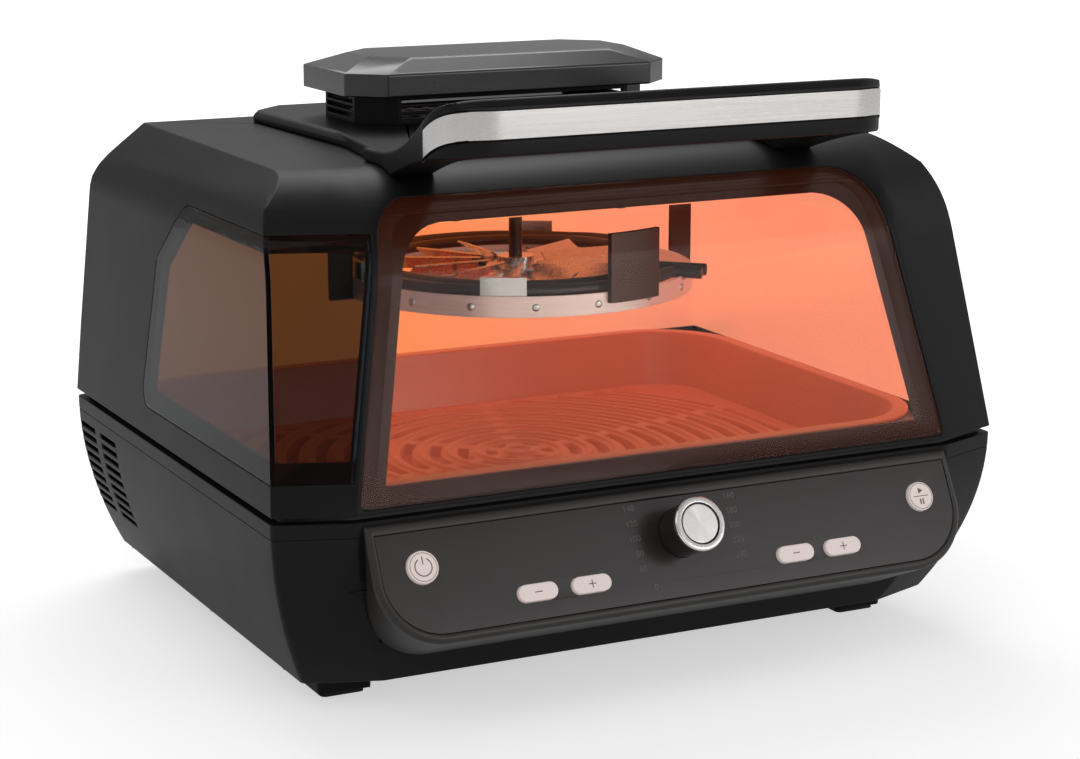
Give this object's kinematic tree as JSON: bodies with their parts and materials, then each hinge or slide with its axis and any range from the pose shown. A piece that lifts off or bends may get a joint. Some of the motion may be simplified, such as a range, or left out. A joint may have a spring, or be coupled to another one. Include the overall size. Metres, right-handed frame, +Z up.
{
  "type": "air fryer oven",
  "caption": "Countertop air fryer oven: low base with a tilted control panel, removable pot and grill plate, and a glazed rear-hinged lid with loop handle and vent stack.",
  "frame": {"origin": "on the ground under the middle of the object's box", "axes": "+Z up, front towards -Y, X across between the two sides"},
  "size_m": [0.445, 0.4012, 0.328],
  "materials": {
    "shell": "satin charcoal, finely grained",
    "trim": "pale moulded lugs",
    "rubber": "matt",
    "screw": "bright zinc",
    "hinge": "black painted steel",
    "well": "satin",
    "pot": "dark non-stick coating",
    "fascia": "dark satin gloss",
    "knob_ring": "polished",
    "brushed": "brushed",
    "button": "pale satin",
    "component": "moulded",
    "board": "green circuit board",
    "brass": "turned",
    "glass": "clear with a dark printed edge",
    "smoked_glass": "smoked",
    "liner": "satin steel sheet",
    "dark_steel": "heat-darkened sheet",
    "clip": "satin sheet",
    "seal": "silicone",
    "motor": "dark painted can",
    "fan": "pressed sheet",
    "element": "dark heat-stained tube"
  },
  "bodies": {
    "base": {"base_shell": "shell", "base_rim": "shell", "bottom_plate": "shell", "wiring_cover": "shell", "control_housing": "shell", "lid_lugs": "trim", "feet": "shell", "foot_pads": "rubber", "cord_bush": "rubber", "bottom_screws": "screw", "hinge_pins": "screw", "hinge_brackets": "hinge", "heat_well": "well", "fascia": "fascia", "encoder": "component", "switches": "component", "control_board": "board", "power_board": "board", "board_pillars": "brass"},
    "lid": {"lid_shell": "shell", "front_glass": "glass", "side_glass": "smoked_glass", "front_frame": "shell", "side_frame": "shell", "lid_ring_plate": "liner", "lid_liner": "liner", "lid_seal": "seal", "top_deck": "shell", "handle_strip": "brushed", "cap_neck": "shell", "vent_filter": "dark_steel", "cap_cover": "shell", "motor": "motor", "motor_bracket": "dark_steel", "heater_element": "element", "reflector_ring": "dark_steel", "heater_hangers": "dark_steel", "element_clips": "clip", "fan_guard": "clip", "terminal_plate": "dark_steel", "hinge_arms": "hinge"},
    "fan": {"fan_shaft": "brushed", "convection_fan": "fan", "cooling_fan": "fan", "fan_nut": "screw"},
    "dial": {"knob_sleeve": "fascia", "knob_ring": "knob_ring", "knob_disc": "brushed", "dial_shaft": "brushed"},
    "power_button": {"power_button": "button"},
    "start_button": {"start_button": "button"},
    "menu_button_1": {"menu_button_1": "button"},
    "menu_button_2": {"menu_button_2": "button"},
    "menu_button_3": {"menu_button_3": "button"},
    "menu_button_4": {"menu_button_4": "button"},
    "pot": {"cooking_pot": "pot"},
    "grill": {"grill_plate": "pot"}
  },
  "joints": [
    {"name": "lid_hinge", "type": "hinge", "parent": "base", "child": "lid", "pos_m": [0, 0.1955, 0.116], "axis": [-1, 0, 0], "range_deg": [0, 80]},
    {"name": "fan_spin", "type": "hinge", "parent": "lid", "child": "fan", "pos_m": [0, 0.028, 0.24], "axis": [0, 0, 1], "continuous": true},
    {"name": "dial_turn", "type": "hinge", "parent": "base", "child": "dial", "pos_m": [0, -0.17311, 0.08942], "axis": [0, -0.8926, 0.4509], "continuous": true},
    {"name": "pot_lift", "type": "slide", "parent": "base", "child": "pot", "axis": [0, 0, 1], "range_m": [0, 0.04]},
    {"name": "grill_lift", "type": "slide", "parent": "pot", "child": "grill", "axis": [0, 0, 1], "range_m": [0, 0.025]},
    {"name": "power_button_press", "type": "slide", "parent": "base", "child": "power_button", "axis": [0, 0.8926, -0.4509], "range_m": [0, 0.0012], "stiffness_N_per_m": 800, "springref_m": -0.001},
    {"name": "start_button_press", "type": "slide", "parent": "base", "child": "start_button", "axis": [0, 0.8926, -0.4509], "range_m": [0, 0.0012], "stiffness_N_per_m": 800, "springref_m": -0.001},
    {"name": "menu_button_1_press", "type": "slide", "parent": "base", "child": "menu_button_1", "axis": [0, 0.8926, -0.4509], "range_m": [0, 0.0012], "stiffness_N_per_m": 800, "springref_m": -0.001},
    {"name": "menu_button_2_press", "type": "slide", "parent": "base", "child": "menu_button_2", "axis": [0, 0.8926, -0.4509], "range_m": [0, 0.0012], "stiffness_N_per_m": 800, "springref_m": -0.001},
    {"name": "menu_button_3_press", "type": "slide", "parent": "base", "child": "menu_button_3", "axis": [0, 0.8926, -0.4509], "range_m": [0, 0.0012], "stiffness_N_per_m": 800, "springref_m": -0.001},
    {"name": "menu_button_4_press", "type": "slide", "parent": "base", "child": "menu_button_4", "axis": [0, 0.8926, -0.4509], "range_m": [0, 0.0012], "stiffness_N_per_m": 800, "springref_m": -0.001}
  ]
}
